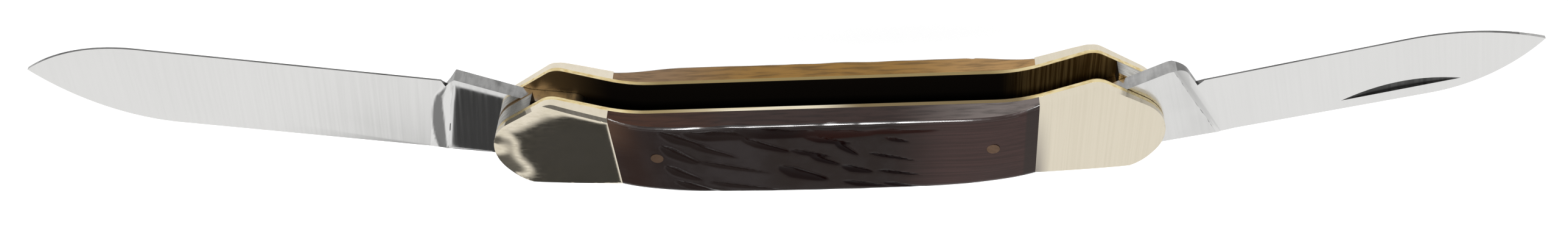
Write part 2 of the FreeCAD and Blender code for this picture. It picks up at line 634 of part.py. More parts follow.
def draw_blade(outline, kind):
    """A blade's outline as an opening in a frame, so that cutting the frame away leaves the blade."""
    corners = blade_corners(kind)
    rounds = {
        "kick": f"Sizes.{kind}_kick_round",
        "back_top": "Sizes.tang_round",
        "back_bottom": "Sizes.tang_round",
    }
    spot = {name: point(number(x), number(z)) for name, (x, z) in corners.items()}
    names = list(corners)
    ring = list(zip(names[-1:] + names[:-1], names, names[1:] + names[:1]))
    turns = {
        here: round_corner(spot[before], spot[here], spot[after], number(rounds[here]))
        for before, here, after in ring if here in rounds
    }
    path = []
    leaving = {}
    smooth = set()
    for _, here, after in ring:
        start, end = spot[here], spot[after]
        if here in turns:
            smooth.update((len(path) - 1, len(path)))
            path.append(outline.arc(*turns[here], left_turn=True))
            start = turns[here][2]
        if after in turns:
            end = turns[after][0]
        leaving[here] = len(path)
        if here == "spine_end":
            along = unit(spot["spine_end"] - spot["shoulder"])
            center = arc_center(start, point(-along.y, along.x), end)
            path.append(outline.arc(start, center, end, left_turn=True))
        elif here == "tip":
            along = unit(spot["heel"] - spot["belly"])
            center = arc_center(end, point(-along.y, along.x), start)
            path.append(outline.arc(start, center, end, left_turn=True))
        else:
            path.append(outline.line(start, end))
    smooth.update((leaving["shoulder"], leaving["tip"]))
    outline.join(path, smooth)
    for name in names:
        number_after = leaving[name]
        if name in rounds:
            outline.tie("Radius", path[number_after - 1][0], size=rounds[name])
            mark = outline.sketch.addGeometry(Part.Point(spot[name]), True)
            outline.set_rule("PointOnObject", mark, 1, path[number_after - 2][0])
            outline.set_rule("PointOnObject", mark, 1, path[number_after][0])
            outline.place(mark, 1, *corners[name])
        else:
            edge, start, _ = path[number_after]
            outline.place(edge, start, *corners[name])
    margin = "Sizes.cut_margin"
    low = f"-(Sizes.{kind}_spine_drop + {margin})"
    high = f"Sizes.{kind}_kick_rise + {margin}"
    near = f"-(Sizes.tang_back + 2 * {margin})"
    far = f"{TIP_X[kind]} + 2 * {margin}"
    outline.polygon([(near, low), (far, low), (far, high), (near, high)])


def blade_section(body, name, station, lean, halves, heights):
    """One cross-section of a blade, given its half thickness at the spine, edge and kick."""
    spine_half, edge_half, kick_half = halves
    low, middle, high = heights
    section = Outline(body, name, "YZ_Plane", station)
    if lean:
        tilt = FreeCAD.Rotation(FreeCAD.Vector(-1, 0, 0), number(lean))
        section.sketch.AttachmentOffset = FreeCAD.Placement(FreeCAD.Vector(), tilt)
        section.sketch.setExpression("AttachmentOffset.Rotation.Angle", lean)
    section.polygon([
        (f"-{spine_half}", low),
        (spine_half, low),
        (edge_half, middle),
        (kick_half, high),
        (f"-{kick_half}", high),
        (f"-{edge_half}", middle),
    ])
    return section.sketch


def blade(kind, rear):
    """A blade: full-thickness tang with its cam flats and kick, ground to a thin edge."""
    size = f"Sizes.{kind}_"
    body = new_body(f"{kind}_blade")
    heights = (
        f"-({size}spine_drop + Sizes.tang_back)",
        f"{size}edge_rise + 2 * Sizes.edge_half",
        f"{size}kick_rise + Sizes.tang_back",
    )
    lean = f"{size}plunge_angle"
    plunge = f"{size}plunge_x"
    half_ground = f"(({TANG_HALF} + Sizes.edge_half) / 2)"
    ground_end = f"({TIP_X[kind]} + Sizes.tang_back)"
    thin = "Sizes.edge_half"
    full = (TANG_HALF, TANG_HALF, TANG_HALF)
    sections = [
        ("back", "-2 * Sizes.tang_back", "", full),
        ("plunge", plunge, lean, full),
        ("runout", f"{plunge} + Sizes.plunge_length / 4", lean, (TANG_HALF, half_ground, TANG_HALF)),
        ("ground", f"{plunge} + Sizes.plunge_length", lean, (TANG_HALF, thin, thin)),
        ("point", ground_end, "", ("Sizes.tip_half", thin, thin)),
    ]
    sketches = [
        blade_section(body, f"{kind}_{name}", station, tilt, halves, heights)
        for name, station, tilt, halves in sections
    ]
    doc.recompute()
    bar = body.newObject("PartDesign::AdditiveLoft", f"{kind}_bar")
    bar.Profile = sketches[0]
    bar.Sections = sketches[1:]
    bar.Ruled = True
    doc.recompute()

    outline = Outline(body, f"{kind}_outline", "XZ_Plane", "Sizes.cut_margin")
    draw_blade(outline, kind)
    cut_through(body, outline)
    hole = Outline(body, f"{kind}_pivot_hole", "XZ_Plane", "Sizes.cut_margin")
    hole.circle("0", "0", "Sizes.pivot_radius + Sizes.running_gap")
    cut_through(body, hole)
    cut_nail_nick(body, kind, f"({plunge} + Sizes.plunge_length)", ground_end)
    place_blade(body, size, rear)
    return body


def cut_nail_nick(body, kind, ground_start, ground_end):
    """The nail nick: a thin cone sunk into the ground face, with its wall towards the spine."""
    size = f"Sizes.{kind}_"
    nick_x = f"({TIP_X[kind]} - {size}nick_setback)"
    share = f"(({nick_x} - {ground_start}) / ({ground_end} - {ground_start}))"
    spine_half = f"({TANG_HALF} + (Sizes.tip_half - {TANG_HALF}) * {share})"
    depth_share = f"({size}nick_inset / ({size}spine_drop + {size}edge_rise))"
    face = f"({spine_half} - ({spine_half} - Sizes.edge_half) * {depth_share})"
    radius = f"(({size}nick_length ^ 2 / 4 + Sizes.nick_depth ^ 2) / (2 * Sizes.nick_depth))"
    nick = body.newObject("PartDesign::SubtractiveCone", "NailNick")
    nick.setExpression("Radius1", radius)
    nick.setExpression("Radius2", f"{radius} - Sizes.nick_depth - Sizes.edge_half")
    nick.setExpression("Height", "Sizes.nick_height")
    nick.setExpression("Placement.Base.x", nick_x)
    nick.setExpression("Placement.Base.y", f"-({face} + {radius} - Sizes.nick_depth)")
    nick.setExpression("Placement.Base.z", f"{size}nick_inset - {size}spine_drop")
    before = body.Shape.Volume
    doc.recompute()
    if not body.Shape.Volume < before:
        raise RuntimeError(f"{body.Label}: the nail nick cut nothing")


def place_blade(body, size, rear):
    """Stand a blade open on its pivot, in the layer of its own spring."""
    if rear:
        half_rise = math.radians(number(f"{size}open_angle")) / 2
        axis = FreeCAD.Vector(math.sin(half_rise), 0, math.cos(half_rise))
        body.Placement = FreeCAD.Placement(FreeCAD.Vector(), FreeCAD.Rotation(axis, 180))
        body.setExpression("Placement.Base.x", f"-{PIVOT_X}")
        body.setExpression("Placement.Base.y", LAYER_MIDDLE)
    else:
        tilt = FreeCAD.Rotation(FreeCAD.Vector(0, -1, 0), number(f"{size}open_angle"))
        body.Placement = FreeCAD.Placement(FreeCAD.Vector(), tilt)
        body.setExpression("Placement.Rotation.Angle", f"{size}open_angle")
        body.setExpression("Placement.Base.x", PIVOT_X)
        body.setExpression("Placement.Base.y", f"-{LAYER_MIDDLE}")
    body.setExpression("Placement.Base.z", "Sizes.pivot_z")


def pin(label, radius, x, z, front, rear):
    """A round pin across the handle, between its front and rear ends."""
    piece = doc.addObject("Part::Cylinder", label)
    piece.Label = label
    piece.setExpression("Radius", radius)
    piece.setExpression("Height", f"{front} + {rear}")
    across = FreeCAD.Rotation(FreeCAD.Vector(1, 0, 0), -90)
    piece.Placement = FreeCAD.Placement(FreeCAD.Vector(), across)
    piece.setExpression("Placement.Base.x", x)
    piece.setExpression("Placement.Base.y", f"-({front})")
    piece.setExpression("Placement.Base.z", z)
    return piece


def pins():
    """Two blade pivots under the bolsters, the springs' pin and four short pins for the covers."""
    cover_end = f"{COVER_OUT} - {cover_thinning(COVER_PIN_X)} + Sizes.cover_pin_stand"
    made = [
        pin("main_pivot_pin", "Sizes.pivot_radius", f"-{PIVOT_X}", "Sizes.pivot_z", LINER_OUT, LINER_OUT),
        pin("pen_pivot_pin", "Sizes.pivot_radius", PIVOT_X, "Sizes.pivot_z", LINER_OUT, LINER_OUT),
        pin("spring_pin", "Sizes.center_pin_radius", "0", "Sizes.center_pin_z", LINER_OUT, LINER_OUT),
    ]
    for end, sign in (("left", "-"), ("right", "")):
        place = ("Sizes.cover_pin_radius", f"{sign}{COVER_PIN_X}", "Sizes.cover_pin_z")
        made.append(pin(f"front_{end}_cover_pin", *place, cover_end, f"-{WELL_HALF}"))
        made.append(pin(f"rear_{end}_cover_pin", *place, f"-{WELL_HALF}", cover_end))
    return made


def knife():
    """Every piece of the knife, each in its place with both blades open."""
    return [
        blade("main", rear=True),
        blade("pen", rear=False),
        spring("main_spring", rear=True),
        spring("pen_spring", rear=False),
        divider(),
        liner("front_liner", rear=False),
        liner("rear_liner", rear=True),
        bolster("front_left_bolster", side=-1, rear=False),
        bolster("front_right_bolster", side=1, rear=False),
        bolster("rear_left_bolster", side=1, rear=True),
        bolster("rear_right_bolster", side=-1, rear=True),
        cover("front_cover", rear=False),
        cover("rear_cover", rear=True),
        *pins(),
    ]


pieces = knife()
doc.recompute()
for item in doc.Objects:
    if "Invalid" in item.State or "Error" in item.State:
        raise RuntimeError(f"{item.Label}: {item.State}")
for piece in pieces:
    if piece.Shape.isNull() or not piece.Shape.isValid():
        raise RuntimeError(f"{piece.Label}: no valid shape")
os.makedirs("parts", exist_ok=True)
for piece in pieces:
    piece.Shape.exportStep(f"parts/{piece.Label}.step")
    box = piece.Shape.BoundBox
    print(piece.Label, len(piece.Shape.Solids), round(piece.Shape.Volume, 2), box)
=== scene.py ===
"""Looks of a folding pocket knife of the canoe pattern, dressed round its solids.

Metres. X runs along the handle, -Y is the front and +Z points up out of the blade well.
"""
import math
import random

import bmesh
import bpy
from mathutils import Matrix, Vector, noise
from mathutils.kdtree import KDTree


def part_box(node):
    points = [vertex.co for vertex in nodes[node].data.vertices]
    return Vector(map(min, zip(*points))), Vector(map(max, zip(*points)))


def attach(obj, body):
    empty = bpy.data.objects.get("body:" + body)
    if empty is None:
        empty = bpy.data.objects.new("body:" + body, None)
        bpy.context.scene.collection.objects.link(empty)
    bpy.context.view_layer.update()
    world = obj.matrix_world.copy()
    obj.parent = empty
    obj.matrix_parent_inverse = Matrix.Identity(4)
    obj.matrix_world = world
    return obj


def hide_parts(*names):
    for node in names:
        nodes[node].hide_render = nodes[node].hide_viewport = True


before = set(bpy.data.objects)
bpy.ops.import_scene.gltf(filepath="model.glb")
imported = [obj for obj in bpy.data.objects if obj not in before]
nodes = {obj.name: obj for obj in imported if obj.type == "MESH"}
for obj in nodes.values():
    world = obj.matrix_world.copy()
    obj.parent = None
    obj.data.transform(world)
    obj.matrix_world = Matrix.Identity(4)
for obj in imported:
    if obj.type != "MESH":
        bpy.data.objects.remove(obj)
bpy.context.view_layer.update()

MM = 0.001
WELD = 0.0005 * MM
FLAT_ANGLE = math.radians(0.4)
CREASE_ANGLE = math.radians(28)
RIM_STEP = 0.05 * MM
GRID_START = 0.15 * MM
GRID_STEP = 0.3 * MM
SMOOTH_FACTOR = 0.5
ALONG_HANDLE = Vector((1, 0, 0))
UPRIGHT = Vector((0, 0, 1))
FRONT = -1
REAR = 1


# Meshes

def copy_solid(name):
    """A solid's mesh with its triangles merged back into faces."""
    mesh = bmesh.new()
    mesh.from_mesh(nodes[name].data)
    bmesh.ops.remove_doubles(mesh, verts=mesh.verts, dist=WELD)
    bmesh.ops.dissolve_limit(mesh, angle_limit=FLAT_ANGLE, verts=mesh.verts, edges=mesh.edges)
    return mesh


def every_face(face):
    return True


def cut_rows(mesh, direction, start, stop, step, wanted=every_face):
    """Cut the faces that a test picks with evenly spaced planes square to a direction."""
    for row in range(int((stop - start) / step) + 1):
        faces = [face for face in mesh.faces if wanted(face)]
        edges = {edge for face in faces for edge in face.edges}
        verts = {vert for face in faces for vert in face.verts}
        bmesh.ops.bisect_plane(
            mesh, geom=faces + list(edges) + list(verts), dist=WELD,
            plane_co=direction * (start + row * step), plane_no=direction,
        )


def cut_grid(mesh, lowest, highest):
    """Cut a mesh into small squares, as seen from the front."""
    cut_rows(mesh, ALONG_HANDLE, lowest.x + GRID_START, highest.x, GRID_STEP)
    cut_rows(mesh, UPRIGHT, lowest.z + GRID_START, highest.z, GRID_STEP)
    mesh.normal_update()


def bevel_creases(mesh, width, segments, wanted):
    """Take the sharpness off the creases that a test picks."""
    mesh.normal_update()
    creases = [
        edge for edge in mesh.edges
        if len(edge.link_faces) == 2 and edge.calc_face_angle() > CREASE_ANGLE and wanted(edge)
    ]
    bmesh.ops.bevel(
        mesh, geom=creases, offset=width, offset_type="OFFSET", segments=segments,
        profile=0.5, affect="EDGES", material=-1, clamp_overlap=True,
    )


def limit(value):
    """A share, held between 0 and 1."""
    return min(1.0, max(0.0, value))


def smooth_step(value):
    """A share that starts and ends gently."""
    share = limit(value)
    return share * share * (3 - 2 * share)


def rim_edges(mesh, faces):
    """The edges round some faces of a mesh."""
    return [edge for edge in mesh.edges if sum(face in faces for face in edge.link_faces) == 1]


def rim_distance(edges):
    """A function that gives how far a place is, seen from the front, from some edges."""
    spots = []
    for edge in edges:
        first, last = (vert.co for vert in edge.verts)
        count = 1 + int((last - first).length / RIM_STEP)
        spots += [first.lerp(last, step / count) for step in range(count + 1)]
    tree = KDTree(len(spots))
    for place, spot in enumerate(spots):
        tree.insert((spot.x, 0, spot.z), place)
    tree.balance()
    return lambda spot: tree.find((spot.x, 0, spot.z))[2]


def smooth_inside(mesh, faces, turns):
    """Even out a rolled face inside its rim."""
    verts = {vert for face in faces for vert in face.verts}
    inner = list(verts - {vert for edge in rim_edges(mesh, faces) for vert in edge.verts})
    for turn in range(turns):
        bmesh.ops.smooth_vert(mesh, verts=inner, factor=SMOOTH_FACTOR, use_axis_y=True)


def make_piece(mesh, node, body, finishes):
    """Turn a mesh into the piece that stands for a node."""
    name = f"{node}_dressed"
    data = bpy.data.meshes.new(name)
    mesh.to_mesh(data)
    mesh.free()
    if "custom_normal" in data.attributes:
        data.attributes.remove(data.attributes["custom_normal"])
    for finish in finishes:
        data.materials.append(finish)
    data.shade_smooth()
    data.set_sharp_from_angle(angle=CREASE_ANGLE)
    piece = bpy.data.objects.new(name, data)
    bpy.context.scene.collection.objects.link(piece)
    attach(piece, body)
    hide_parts(node)
    return piece


# Finishes

SPECKLE_ROUGHNESS = 0.55
SHADE_RANGE = (0.35, 0.7)
CLOUD_RANGE = (0.35, 0.65)
GRAIN_RANGE = (0.38, 0.66)
POLISH_RANGE = (0.3, 0.7)
BUMP_HEIGHT = 0.01 * MM


def new_finish(name):
    finish = bpy.data.materials.new(name)
    finish.use_nodes = True
    tree = finish.node_tree
    return finish, tree, tree.nodes["Principled BSDF"]


def add(tree, kind, sockets=None, **settings):
    """Add a node, with its settings and with what goes into its sockets."""
    made = tree.nodes.new(kind)
    for key, value in settings.items():
        setattr(made, key, value)
    for key, value in (sockets or {}).items():
        if isinstance(value, bpy.types.NodeSocket):
            tree.links.new(value, made.inputs[key])
        else:
            made.inputs[key].default_value = value
    return made


def place_on_piece(tree, turn=0.0, scale=(1, 1, 1)):
    """Coordinates on the piece, turned about Y and then scaled."""
    place = add(tree, "ShaderNodeTexCoord").outputs["Object"]
    turned = add(tree, "ShaderNodeMapping", {"Vector": place, "Rotation": (0, turn, 0)}).outputs["Vector"]
    scaled = add(tree, "ShaderNodeVectorMath", {0: turned, 1: scale}, operation="MULTIPLY")
    return scaled.outputs["Vector"]


def place_parts(tree):
    """The X, Y and Z of a place on the piece."""
    parts = add(tree, "ShaderNodeSeparateXYZ", {"Vector": place_on_piece(tree)})
    return [parts.outputs[axis] for axis in "XYZ"]


def speckle(tree, vector, scale=1.0, detail=3.0):
    made = add(tree, "ShaderNodeTexNoise", {
        "Vector": vector, "Scale": scale, "Detail": detail, "Roughness": SPECKLE_ROUGHNESS,
    })
    return made.outputs["Fac"]


def spread(tree, value, low, high, to_low=0.0, to_high=1.0):
    """Map a range of values onto another, smoothly at both ends."""
    made = add(tree, "ShaderNodeMapRange", {
        "Value": value, "From Min": low, "From Max": high, "To Min": to_low, "To Max": to_high,
    }, interpolation_type="SMOOTHSTEP")
    return made.outputs["Result"]


def reckon(tree, operation, *values):
    made = add(tree, "ShaderNodeMath", dict(enumerate(values)), operation=operation)
    return made.outputs["Value"]


def read_attribute(tree, name):
    return add(tree, "ShaderNodeAttribute", attribute_name=name).outputs["Fac"]


def blend_colors(tree, share, first, second):
    made = add(tree, "ShaderNodeMix", data_type="RGBA")
    for key, value in (("Factor", share), ("A", first), ("B", second)):
        socket = next(s for s in made.inputs if s.name == key and s.enabled)
        if isinstance(value, bpy.types.NodeSocket):
            tree.links.new(value, socket)
        else:
            socket.default_value = value if key == "Factor" else (*value, 1)
    return next(s for s in made.outputs if s.enabled)


def blend_along(tree, place, color, steps):
    """Colours in turn along a line: where each begins and is full, in millimetres, and the colour."""
    for begin, full, following in steps:
        color = blend_colors(tree, spread(tree, place, begin * MM, full * MM), color, following)
    return color


def coat(tree, shader, color, roughness):
    tree.links.new(color, shader.inputs["Base Color"])
    tree.links.new(roughness, shader.inputs["Roughness"])


def raise_bump(tree, shader, height, strength):
    bump = add(tree, "ShaderNodeBump", {"Height": height, "Distance": BUMP_HEIGHT, "Strength": strength})
    tree.links.new(bump.outputs["Normal"], shader.inputs["Normal"])


def brushed_metal(
    name, light, dark, rough, lines_scale, turn=0.0, cloud_scale=120.0, line_share=0.3, bump=0.1, dull=None,
):
    """A metal with fine lines one way and faint clouds, from its light and its dark colour.

    Where the piece's darkening attribute is set, the metal blends towards a darker colour: painted shade on
    the blades, and a darker patch low by the right bolsters' joint.
    """
    finish, tree, shader = new_finish(name)
    lines = speckle(tree, place_on_piece(tree, turn, lines_scale), detail=2.0)
    clouds = speckle(tree, place_on_piece(tree), cloud_scale)
    line_shade = reckon(tree, "MULTIPLY", spread(tree, lines, *SHADE_RANGE), line_share)
    cloud_shade = reckon(tree, "MULTIPLY", spread(tree, clouds, *SHADE_RANGE), 1 - line_share)
    color = blend_colors(tree, reckon(tree, "ADD", line_shade, cloud_shade), light, dark)
    if dull:
        color = blend_colors(tree, read_attribute(tree, "darkening_share"), color, dull)
    coat(tree, shader, color, spread(tree, lines, *POLISH_RANGE, *rough))
    shader.inputs["Metallic"].default_value = 1.0
    raise_bump(tree, shader, lines, bump)
    return finish


def liner_finish():
    """Brass liner: a bright rim, and a well wall painted brown at its ends and black between them as painted
    shade of the deep well, with lighter streaks painted at the right end where light comes in.
    """
    wall_inside, wall_outside = 2.37 * MM, 2.42 * MM
    wall_roughness = 0.5
    dim_left, dim_right, dim_far = (0.36, 0.28, 0.14), (0.22, 0.165, 0.085), (0.30, 0.225, 0.10)
    brown, black = (0.20, 0.125, 0.052), (0.024, 0.018, 0.013)
    dark_streak, light_streak = (0.125, 0.068, 0.018), (0.34, 0.225, 0.085)
    finish, tree, shader = new_finish("liner_brass")
    x, y, z = place_parts(tree)
    lengthwise = speckle(tree, place_on_piece(tree, scale=(200.0, 2600.0, 2600.0)), detail=2.0)
    upright = speckle(tree, place_on_piece(tree, scale=(2600.0, 60.0, 60.0)))
    brushing = spread(tree, lengthwise, *SHADE_RANGE)
    gold = blend_colors(tree, brushing, (0.80, 0.68, 0.40), (0.62, 0.47, 0.21))
    cream_gold = blend_colors(tree, brushing, (0.84, 0.77, 0.60), (0.70, 0.60, 0.40))
    # The near rim's colour changes along the handle: gold at the ends, dimmer near the left joint and right
    # of the middle, creamier left of the middle.
    near_rim = blend_along(
        tree, x, gold, [(-27, -24, dim_left), (-22, -9, cream_gold), (-2, 6, dim_right), (26, 29, gold)])
    far_rim = blend_along(tree, reckon(tree, "ABSOLUTE", x), dim_far, [(22, 29, gold)])
    rim = blend_along(tree, y, near_rim, [(0, 1, far_rim)])
    streaks = blend_colors(tree, spread(tree, upright, 0.40, 0.66), dark_streak, light_streak)
    # Painted shade: the well wall is black in the middle of the well and brown towards its ends, streaked
    # lighter at the right end as painted light.
    well_shade = blend_along(tree, x, brown, [(-37, -29, black), (24, 29, streaks)])
    wall = spread(tree, reckon(tree, "ABSOLUTE", y), wall_inside, wall_outside, 1.0, 0.0)
    polish = spread(tree, lengthwise, *POLISH_RANGE, 0.2, 0.34)
    roughness = reckon(tree, "MAXIMUM", polish, reckon(tree, "MULTIPLY", wall, wall_roughness))
    coat(tree, shader, blend_colors(tree, wall, rim, well_shade), roughness)
    shader.inputs["Metallic"].default_value = 1.0
    return finish


def spring_finish():
    """Spring steel, ground lengthwise along the back, and painted black inside the well as painted shade."""
    well_end, well_stop = 39 * MM, 41 * MM
    well_floor, well_start = 1.6 * MM, 2.4 * MM
    black = (0.02, 0.015, 0.012)
    finish, tree, shader = new_finish("spring_steel")
    x, y, z = place_parts(tree)
    lines = speckle(tree, place_on_piece(tree, scale=(300.0, 5200.0, 900.0)), detail=2.0)
    bare = blend_colors(tree, spread(tree, lines, *SHADE_RANGE), (0.56, 0.55, 0.52), (0.38, 0.37, 0.34))
    # Painted shade: black where the spring's top lies deep inside the well, between its ends.
    between_ends = spread(tree, reckon(tree, "ABSOLUTE", x), well_end, well_stop, 1.0, 0.0)
    inside = reckon(tree, "MULTIPLY", between_ends, spread(tree, z, well_floor, well_start))
    color = blend_colors(tree, inside, bare, black)
    coat(tree, shader, color, spread(tree, lines, *POLISH_RANGE, 0.24, 0.4))
    shader.inputs["Metallic"].default_value = 1.0
    raise_bump(tree, shader, lines, 0.1)
    return finish


def bone_finish(name, gloss):
    """Dyed bone: near black in its jigged middle, browner and grained at its smooth ends, with a warm painted
    highlight at its upper left end.
    """
    red_brown, warm_highlight_brown = (0.0165, 0.0095, 0.0078), (0.048, 0.026, 0.0165)
    joint_grey = (0.0206, 0.0161, 0.0147)
    left_stain, middle_stain = (0.0074, 0.0042, 0.0036), (0.004, 0.0012, 0.001)
    low_stain, top_stain = (0.0026, 0.0004, 0.0004), (0.0105, 0.0026, 0.0016)
    shallow, full = 0.02, 0.32
    finish, tree, shader = new_finish(name)
    depth = read_attribute(tree, "cut_depth")
    along = read_attribute(tree, "along_cover")
    height = place_parts(tree)[2]
    grain = speckle(tree, place_on_piece(tree, scale=(60.0, 900.0, 3400.0)), detail=4.0)
    clouds = spread(tree, speckle(tree, place_on_piece(tree), 260.0), *CLOUD_RANGE)
    fibres = spread(tree, grain, *GRAIN_RANGE)
    grey_dye = blend_colors(tree, clouds, (0.0165, 0.0128, 0.0126), (0.0128, 0.0095, 0.0088))
    black_dye = blend_colors(tree, clouds, (0.013, 0.0095, 0.0088), (0.0105, 0.0068, 0.0058))
    brown_dye = blend_colors(tree, fibres, (0.026, 0.0162, 0.0148), (0.036, 0.021, 0.0193))
    # Painted highlight: a warmer, lighter brown at the upper left end, by the left joint.
    at_left_end = spread(tree, along, -30 * MM, -24 * MM, 1.0, 0.0)
    corner_highlight = reckon(tree, "MULTIPLY", at_left_end, spread(tree, height, 7 * MM, 14 * MM))
    left = blend_along(tree, along, red_brown, [(-27, -21, grey_dye)])
    left = blend_colors(tree, corner_highlight, left, warm_highlight_brown)
    tone_and_highlight = blend_along(tree, along, left, [(-11, -5, black_dye), (8, 18, brown_dye)])
    tone_and_highlight = blend_colors(tree, spread(tree, along, 27.0 * MM, 27.4 * MM, 0.0, 0.8), tone_and_highlight, joint_grey)
    high_stain = blend_along(tree, height, low_stain, [(10.5, 12, top_stain)])
    stain = blend_along(tree, along, left_stain, [(-11, -6, middle_stain), (-5, 1, high_stain)])
    dyed = blend_colors(tree, spread(tree, depth, shallow, full), tone_and_highlight, stain)
    coat(tree, shader, dyed, spread(tree, grain, *POLISH_RANGE, 0.13, 0.22))
    shader.inputs["Specular IOR Level"].default_value = gloss
    raise_bump(tree, shader, grain, 0.08)
    return finish


def rim_finish(name, left, middle, right):
    """The upper rim of a bone cover, ground flush with the liner, from its colours along the handle."""
    darkening = 0.45
    finish, tree, shader = new_finish(name)
    along = place_parts(tree)[0]
    grain = speckle(tree, place_on_piece(tree, scale=(260.0, 2200.0, 1500.0)), detail=4.0)
    tone = blend_along(tree, along, left, [(-24, -8, middle), (8, 24, right)])
    darker = blend_colors(tree, darkening, tone, (0, 0, 0))
    grained = blend_colors(tree, spread(tree, grain, 0.4, 0.7), tone, darker)
    coat(tree, shader, grained, spread(tree, grain, *POLISH_RANGE, 0.2, 0.32))
    shader.inputs["Specular IOR Level"].default_value = 0.2
    raise_bump(tree, shader, grain, 0.15)
    return finish


bone = bone_finish("dyed_bone", gloss=0.07)
worn_bone = bone_finish("worn_bone", gloss=0.45)
# The front rim's pale grey right colour is a painted highlight, the reflection seen along its right part.
front_rim_with_highlight = rim_finish(
    "dyed_rim_with_highlight", left=(0.036, 0.0135, 0.007), middle=(0.025, 0.014, 0.012), right=(0.125, 0.105, 0.098))
rear_rim = rim_finish(
    "pale_rim", left=(0.172, 0.106, 0.056), middle=(0.20, 0.105, 0.022), right=(0.295, 0.172, 0.066))
liner_brass = liner_finish()
spring_steel = spring_finish()
polished_bolster = brushed_metal(
    "polished_nickel_silver", light=(0.80, 0.73, 0.60), dark=(0.70, 0.63, 0.49),
    rough=(0.05, 0.10), lines_scale=(900.0, 900.0, 2600.0), bump=0.05)
# The satin bolster blends towards a browner grey where it is darker near its joint.
satin_bolster = brushed_metal(
    "satin_nickel_silver", light=(0.75, 0.685, 0.555), dark=(0.715, 0.65, 0.52),
    rough=(0.16, 0.22), lines_scale=(2600.0, 200.0, 25.0), line_share=0.7, dull=(0.36, 0.325, 0.28))
# A dark stripe of painted reflection, standing for a bevel along the top of the left bolsters' slope.
painted_bevel_silver = brushed_metal(
    "painted_bevel_nickel_silver", light=(0.22, 0.20, 0.17), dark=(0.15, 0.135, 0.11),
    rough=(0.15, 0.25), lines_scale=(2600.0, 200.0, 200.0))
pin_brass = brushed_metal(
    "pin_brass", light=(0.16, 0.10, 0.065), dark=(0.10, 0.062, 0.04),
    rough=(0.35, 0.5), lines_scale=(1800.0, 1800.0, 1800.0))
pin_nickel_silver = brushed_metal(
    "pin_nickel_silver", light=(0.74, 0.70, 0.60), dark=(0.66, 0.62, 0.52),
    rough=(0.15, 0.25), lines_scale=(1800.0, 1800.0, 1800.0))


# Blades

# Each blade is measured along and across itself from its pivot
BLADES = {
    "main": {
        "end": -1, "rise": math.radians(11.6), "plunge": 14.2 * MM, "lean": math.radians(5),
        "spine": -7.9 * MM, "edge": 5.0 * MM,
        "kick": 13.5 * MM, "heel": 16.6 * MM, "heel_pull": 1.1 * MM,
        "nick_middle": 46.0 * MM, "nick_half": 8.5 * MM, "nick_low": -7.4 * MM,
    },
    "pen": {
        "end": 1, "rise": math.radians(14.0), "plunge": 11.8 * MM, "lean": math.radians(16),
        "spine": -6.85 * MM, "edge": 2.7 * MM,
        "kick": 11.2 * MM, "heel": 13.6 * MM, "heel_pull": 0.0,
        "nick_middle": 38.2 * MM, "nick_half": 7.25 * MM, "nick_low": -5.75 * MM,
    },
}
TANG, GROUND, RIM, CUTTING_EDGE, NICK, TANG_BEVEL = range(6)

# How far a face of each surface is turned: shares of its normal across the handle or up the blade
FLAT_TANG = 0.9995
GROUND_TILT = 0.6
RIM_TURN = 0.35
BEVEL_TURN = 0.9
BEVEL_RISE = 0.3
TOP_RISE = 0.5
NICK_STEEPEST = -0.5
NICK_FLATTEST = 0.985

TANG_LENGTH = 19.35 * MM
TANG_END = 1.0 * MM
TANG_ROLL = 1.1 * MM
TANG_ROLL_DEPTH = 0.07 * MM
TANG_SMOOTH_TURNS = 8
TANG_BEVEL_WIDTH = 0.14 * MM
HALF_HEIGHT = 8 * MM
EDGE_START = 0.5 * MM
PLUNGE_NEAR = 0.05 * MM
PLUNGE_FAR = 3.6 * MM
PLUNGE_ROWS_START = 0.125 * MM
PLUNGE_ROWS_STOP = 4 * MM
PLUNGE_STEP_ALONG = 0.25 * MM
PLUNGE_ACROSS_START = 0.13 * MM
PLUNGE_STEP_ACROSS = 0.5 * MM
PEN_SHADE = 0.3
PEN_SHADE_MIDDLE = 0.4 * MM
PEN_SHADE_REACH = 1.0 * MM
CRESCENT_BLUR = 0.22 * MM
HEEL_FADE = 8.0 * MM
HEEL_LOW = 2 * MM
HEEL_RISE = 2 * MM
NICK_HEIGHT = 2.2 * MM
NICK_STRETCH = 0.25
NICK_RISE = 0.6
NICK_RIM = 0.5 * MM


def grey(level):
    """Steel's slightly warm grey."""
    return (level, level * 0.995, level * 0.98)


